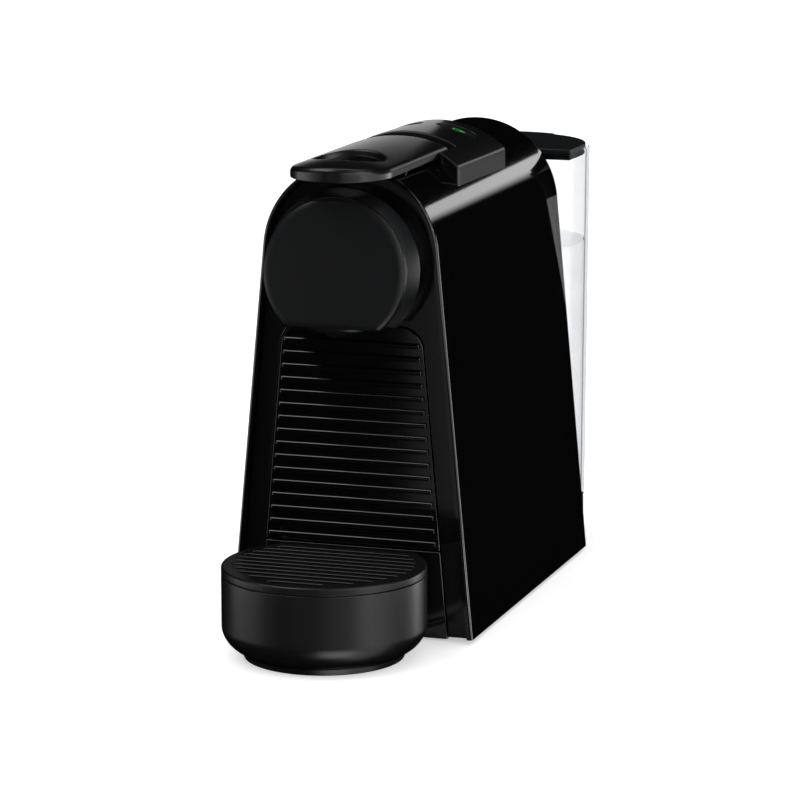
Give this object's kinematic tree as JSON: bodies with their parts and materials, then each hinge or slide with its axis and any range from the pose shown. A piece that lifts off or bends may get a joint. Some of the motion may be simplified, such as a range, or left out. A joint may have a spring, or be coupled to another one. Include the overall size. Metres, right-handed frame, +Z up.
{
  "type": "pod coffee machine",
  "caption": "Compact capsule coffee machine: arched shell, round brew head with spout, lift lever over a capsule slot, round drip tray, capsule container and clear rear water tank.",
  "frame": {"origin": "centre of the footprint, on the surface that the machine stands on", "axes": "+Z up, front towards -Y, +X to the right seen from the front"},
  "size_m": [0.1072, 0.325, 0.205],
  "materials": {
    "gloss_black": "high gloss",
    "satin_black": "satin",
    "matt_black": "fine matt",
    "rubber": "matt",
    "seal_red": "matt",
    "steel": "brushed",
    "grey_plastic": "matt",
    "light_green": "clear light guide",
    "board_green": "solder mask",
    "white_plastic": "matt",
    "blue_plastic": "matt",
    "coil_blue": "moulded",
    "aluminium": "as cast",
    "brass": "plain",
    "white_hose": "smooth",
    "clear_tank": "clear moulded plastic"
  },
  "bodies": {
    "machine": {"outer_shell": "gloss_black", "front_fascia": "gloss_black", "base_plate": "matt_black", "rear_cover": "matt_black", "rubber_feet": "rubber", "base_screws": "steel", "head_drum": "satin_black", "head_cover": "satin_black", "spout": "satin_black", "outlet_duct": "grey_plastic", "control_saddle": "gloss_black", "lever_pin": "steel", "button_lights": "light_green", "button_switches": "matt_black", "control_board": "board_green", "brew_frame": "matt_black", "pierce_plate": "steel", "plate_seal": "seal_red", "rocker_pins": "steel", "capsule_guide": "matt_black", "tank_dock": "matt_black", "dock_seal": "rubber", "flow_meter": "white_plastic", "pump_body": "white_plastic", "pump_coil": "coil_blue", "pump_mounts": "rubber", "heater_block": "aluminium", "heater_clamp": "steel", "thermostats": "brass", "supply_hose": "white_hose", "meter_hose": "white_hose", "pump_hose": "white_hose", "brew_hose": "white_hose", "main_board": "board_green", "board_parts": "matt_black", "cord_gland": "rubber", "container_rails": "matt_black"},
    "lever": {"lever": "gloss_black", "crank_pins": "steel"},
    "rocker": {"rocker_left": "steel", "rocker_right": "steel"},
    "cage": {"capsule_cage": "grey_plastic", "cage_pin": "steel", "inlet_needles": "steel"},
    "long_button": {"long_button": "satin_black"},
    "short_button": {"short_button": "satin_black"},
    "drip_tray": {"drip_tray": "satin_black"},
    "drip_grid": {"drip_grid": "satin_black"},
    "capsule_container": {"capsule_container": "gloss_black"},
    "water_tank": {"water_tank": "clear_tank", "tank_filter": "white_plastic", "tank_valve": "white_plastic", "tank_handle_rib": "clear_tank"},
    "tank_lid": {"tank_lid": "satin_black"},
    "flow_rotor": {"flow_rotor": "blue_plastic"}
  },
  "joints": [
    {"name": "lever_tilt", "type": "hinge", "parent": "machine", "child": "lever", "pos_m": [0, -0.0231, 0.1935], "axis": [-1, 0, 0], "range_deg": [0, 80]},
    {"name": "rocker_swing", "type": "hinge", "parent": "machine", "child": "rocker", "pos_m": [0, -0.026, 0.176], "axis": [1, 0, 0], "range_deg": [0, 74.5]},
    {"name": "cage_slide", "type": "slide", "parent": "machine", "child": "cage", "axis": [0, 1, 0], "range_m": [0, 0.0301]},
    {"name": "long_button_press", "type": "slide", "parent": "machine", "child": "long_button", "axis": [0, 0, -1], "range_m": [0, 0.001], "stiffness_N_per_m": 400},
    {"name": "short_button_press", "type": "slide", "parent": "machine", "child": "short_button", "axis": [0, 0, -1], "range_m": [0, 0.001], "stiffness_N_per_m": 400},
    {"name": "tray_slide", "type": "slide", "parent": "machine", "child": "drip_tray", "axis": [0, -1, 0], "range_m": [0, 0.12]},
    {"name": "grid_lift", "type": "slide", "parent": "drip_tray", "child": "drip_grid", "axis": [0, 0, 1], "range_m": [0, 0.05]},
    {"name": "container_slide", "type": "slide", "parent": "machine", "child": "capsule_container", "axis": [0, -1, 0], "range_m": [0, 0.045]},
    {"name": "tank_lift", "type": "slide", "parent": "machine", "child": "water_tank", "axis": [0, 0, 1], "range_m": [0, 0.06]},
    {"name": "lid_lift", "type": "slide", "parent": "water_tank", "child": "tank_lid", "axis": [0, 0, 1], "range_m": [0, 0.05]},
    {"name": "rotor_spin", "type": "hinge", "parent": "machine", "child": "flow_rotor", "pos_m": [0.022, 0.071, 0.02], "axis": [0, 0, 1], "continuous": true}
  ],
  "couplings": [
    {"joint": "rocker_swing", "follows": "lever_tilt", "ratio": 0.93},
    {"joint": "cage_slide", "follows": "lever_tilt", "m_per_rad": 0.021486}
  ]
}
